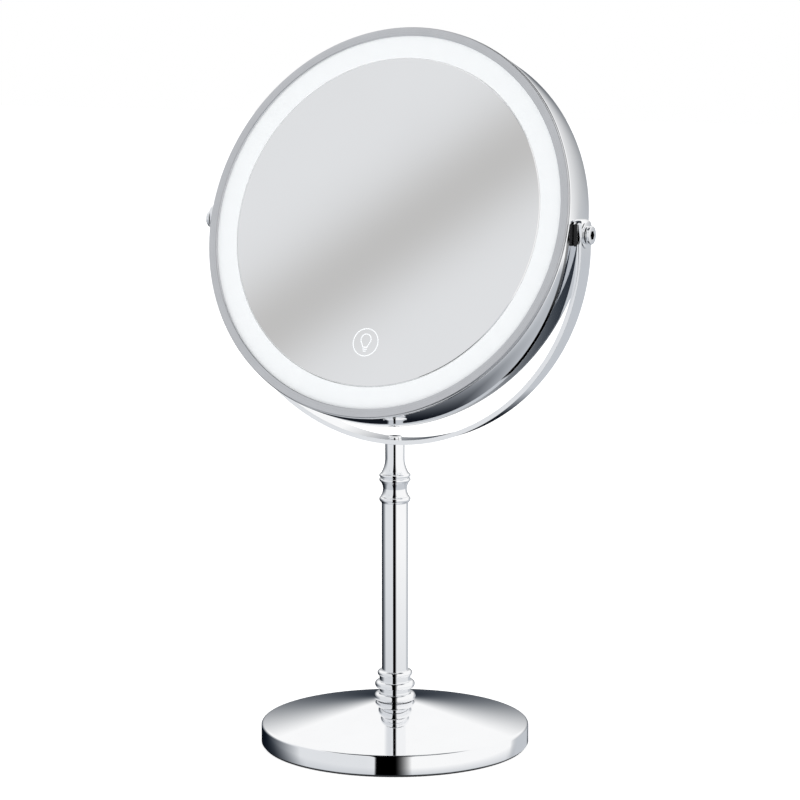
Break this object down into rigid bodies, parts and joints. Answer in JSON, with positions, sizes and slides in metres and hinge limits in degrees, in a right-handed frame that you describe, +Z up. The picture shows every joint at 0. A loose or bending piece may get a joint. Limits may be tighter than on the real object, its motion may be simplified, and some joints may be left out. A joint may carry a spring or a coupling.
{
  "type": "lighted vanity mirror",
  "caption": "Two-sided round vanity mirror with a lit ring, in a chromed drum head that tilts in a U-shaped yoke on a turned stem and a weighted round foot.",
  "frame": {"origin": "centre of the round foot's underside", "axes": "+Z up along the stem; the lit mirror faces -Y and leans back; +X is the tilt axis"},
  "size_m": [0.2168, 0.137, 0.3642],
  "materials": {
    "chrome_plate": "polished chrome plate",
    "satin_trim": "satin chrome trim",
    "plain_steel": "zinc-plated steel",
    "cast_weight": "rough cast iron, painted",
    "black_rubber": "soft black rubber",
    "mirror_glass": "silvered glass",
    "opal_acrylic": "opal acrylic, lit from behind",
    "white_plastic": "moulded white plastic",
    "black_plastic": "moulded black plastic",
    "foam_tape": "double-sided foam tape",
    "white_board": "white circuit board",
    "green_board": "green circuit board",
    "led_package": "LED package with phosphor",
    "dark_component": "moulded electronic components",
    "copper_foil": "copper foil",
    "nickel_contact": "nickel-plated spring steel",
    "cell_jacket": "printed steel can, no label",
    "lead_insulation": "soft lead insulation"
  },
  "bodies": {
    "stand": {"base_shell": "chrome_plate", "base_ballast": "cast_weight", "base_pad": "black_rubber", "base_washer": "plain_steel", "base_nut": "plain_steel", "hub_spacer": "plain_steel", "lower_collar": "chrome_plate", "stem_tube": "chrome_plate", "upper_collar": "chrome_plate", "tie_rod": "plain_steel", "yoke_bracket": "chrome_plate", "yoke_screw": "chrome_plate", "pivot_pads": "black_rubber"},
    "head": {"pivot_washers": "chrome_plate", "front_bezel": "satin_trim", "head_casing": "chrome_plate", "front_mirror": "mirror_glass", "light_diffuser": "opal_acrylic", "light_tray": "white_plastic", "mirror_tape": "foam_tape", "led_strip": "white_board", "led_chips": "led_package", "touch_electrode": "copper_foil", "touch_board": "green_board", "control_board": "green_board", "board_components": "dark_component", "board_screws": "plain_steel", "battery_tray": "black_plastic", "tray_screws": "plain_steel", "battery_cells": "cell_jacket", "contact_springs": "nickel_contact", "contact_plates": "nickel_contact", "battery_leads": "lead_insulation", "led_leads": "lead_insulation", "touch_lead": "lead_insulation", "pivot_blocks": "plain_steel", "pivot_screws": "chrome_plate"},
    "rear_cover": {"rear_bezel": "chrome_plate", "rear_mirror": "mirror_glass", "rear_retainer": "black_plastic"}
  },
  "joints": [
    {"name": "head_tilt", "type": "hinge", "parent": "stand", "child": "head", "pos_m": [0, 0, 0.2654], "axis": [1, 0, 0], "continuous": true},
    {"name": "rear_cover_pull", "type": "slide", "parent": "head", "child": "rear_cover", "axis": [0, 0.9472, -0.3206], "range_m": [0, 0.008]}
  ]
}
